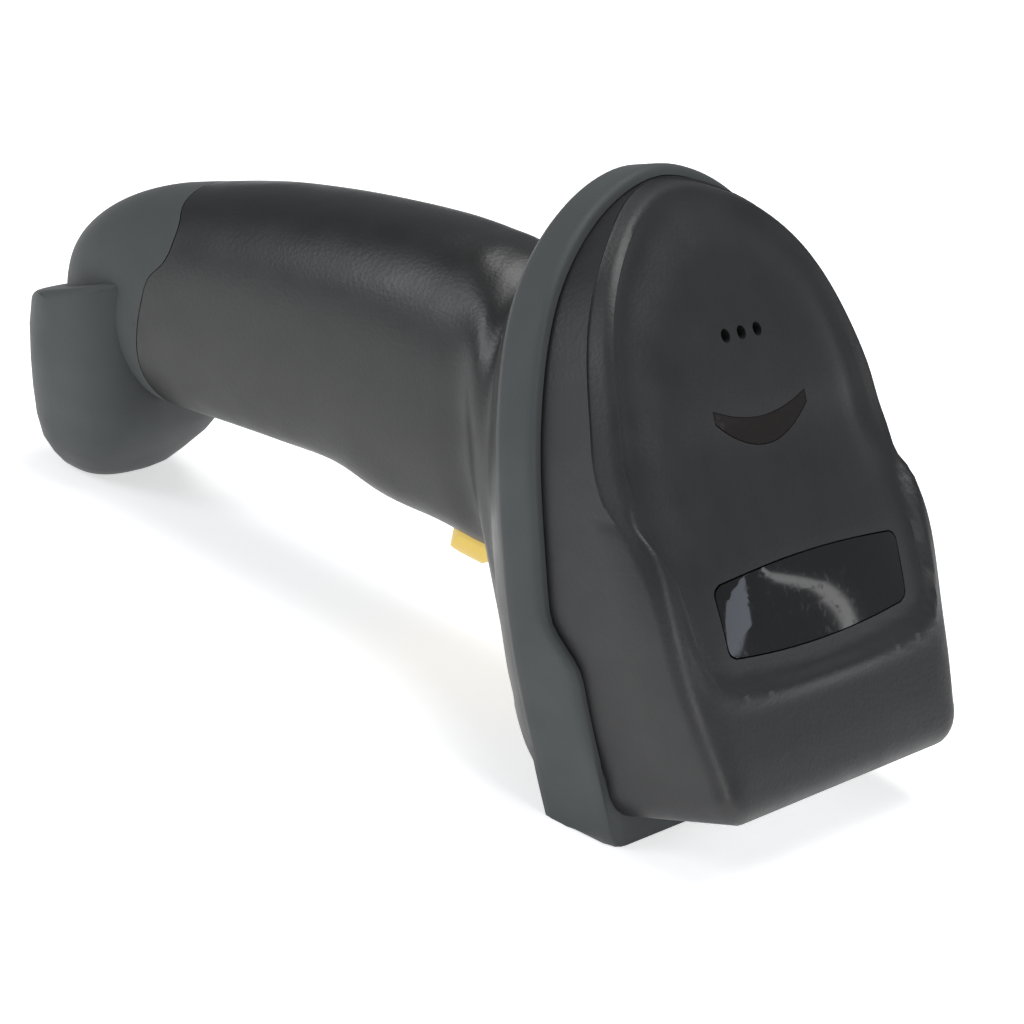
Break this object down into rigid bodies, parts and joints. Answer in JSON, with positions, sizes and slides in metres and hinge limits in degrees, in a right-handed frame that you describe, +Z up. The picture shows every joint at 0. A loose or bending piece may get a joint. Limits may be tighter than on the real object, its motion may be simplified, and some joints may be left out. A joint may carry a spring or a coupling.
{
  "type": "handheld barcode scanner",
  "caption": "Cordless pistol-grip barcode scanner resting on its chin and tail hook: domed head in a rubber bumper, curved handle, finger trigger, glossy panel and crescent status light.",
  "frame": {"origin": "centre of the overall length and width, on the surface that the scanner lies on", "axes": "+X from the handle's tail towards the head's operator-side face, +Y to the left of someone who looks along +X, +Z up; the scanner is symmetric about Y = 0"},
  "size_m": [0.1686, 0.0748, 0.0881],
  "materials": {
    "cover_plastic": "matt fine-grained, near black",
    "bumper_rubber": "matt moulded rubber, dark grey",
    "handle_plastic": "satin fine-grained, dark grey",
    "tail_rubber": "matt moulded rubber, dark grey",
    "trigger_plastic": "satin, pale yellow",
    "screw_steel": "zinc-plated",
    "gloss_panel": "glossy near-black acrylic",
    "smoke_lens": "smoky translucent light guide",
    "window_glass": "clear, coated",
    "lens_glass": "clear, blue-coated",
    "foam": "closed-cell foam",
    "die_cast": "as cast",
    "barrel_black": "matt black",
    "circuit_board": "solder mask over glass fibre",
    "chip_black": "moulded component package",
    "can_steel": "tin-plated",
    "flex_cable": "polyimide film",
    "led_package": "clear resin on white",
    "spring_steel": "bright wire",
    "carrier_plastic": "natural moulded",
    "cell_wrap": "shrink sleeve, blue",
    "socket_steel": "nickel-plated"
  },
  "bodies": {
    "scanner": {"top_cover": "cover_plastic", "bumper_ring": "bumper_rubber", "handle_body": "handle_plastic", "tail_cap": "tail_rubber", "head_screws": "screw_steel", "board_screws": "screw_steel", "tail_screws": "screw_steel", "engine_screws": "screw_steel", "indicator_panel": "gloss_panel", "status_lens": "smoke_lens", "status_leds": "led_package", "beeper": "barrel_black", "beeper_seal": "foam", "scan_window": "window_glass", "window_seal": "foam", "engine_chassis": "die_cast", "lens_barrel": "barrel_black", "imager_lens": "lens_glass", "illumination_lenses": "lens_glass", "illumination_leds": "led_package", "imager_board": "circuit_board", "image_sensor": "chip_black", "engine_bracket": "can_steel", "engine_flex": "flex_cable", "main_board": "circuit_board", "shield_can": "can_steel", "processor": "chip_black", "radio_module": "can_steel", "board_connectors": "chip_black", "trigger_pin": "spring_steel", "trigger_spring": "spring_steel", "switch_carrier": "carrier_plastic", "switch_board": "circuit_board", "trigger_switch": "chip_black", "battery_cell": "cell_wrap", "battery_cradle": "carrier_plastic", "battery_pad": "foam", "handle_flex": "flex_cable", "charge_board": "circuit_board", "charge_socket": "socket_steel"},
    "trigger_lever": {"trigger": "trigger_plastic", "switch_plunger": "carrier_plastic"}
  },
  "joints": [
    {"name": "trigger_pull", "type": "hinge", "parent": "scanner", "child": "trigger_lever", "pos_m": [0.026, 0, 0.0284], "axis": [0, 1, 0], "range_deg": [0, 5], "stiffness_Nm_per_rad": 0.25, "springref_deg": -2.75, "deforming": ["trigger_spring"]}
  ]
}
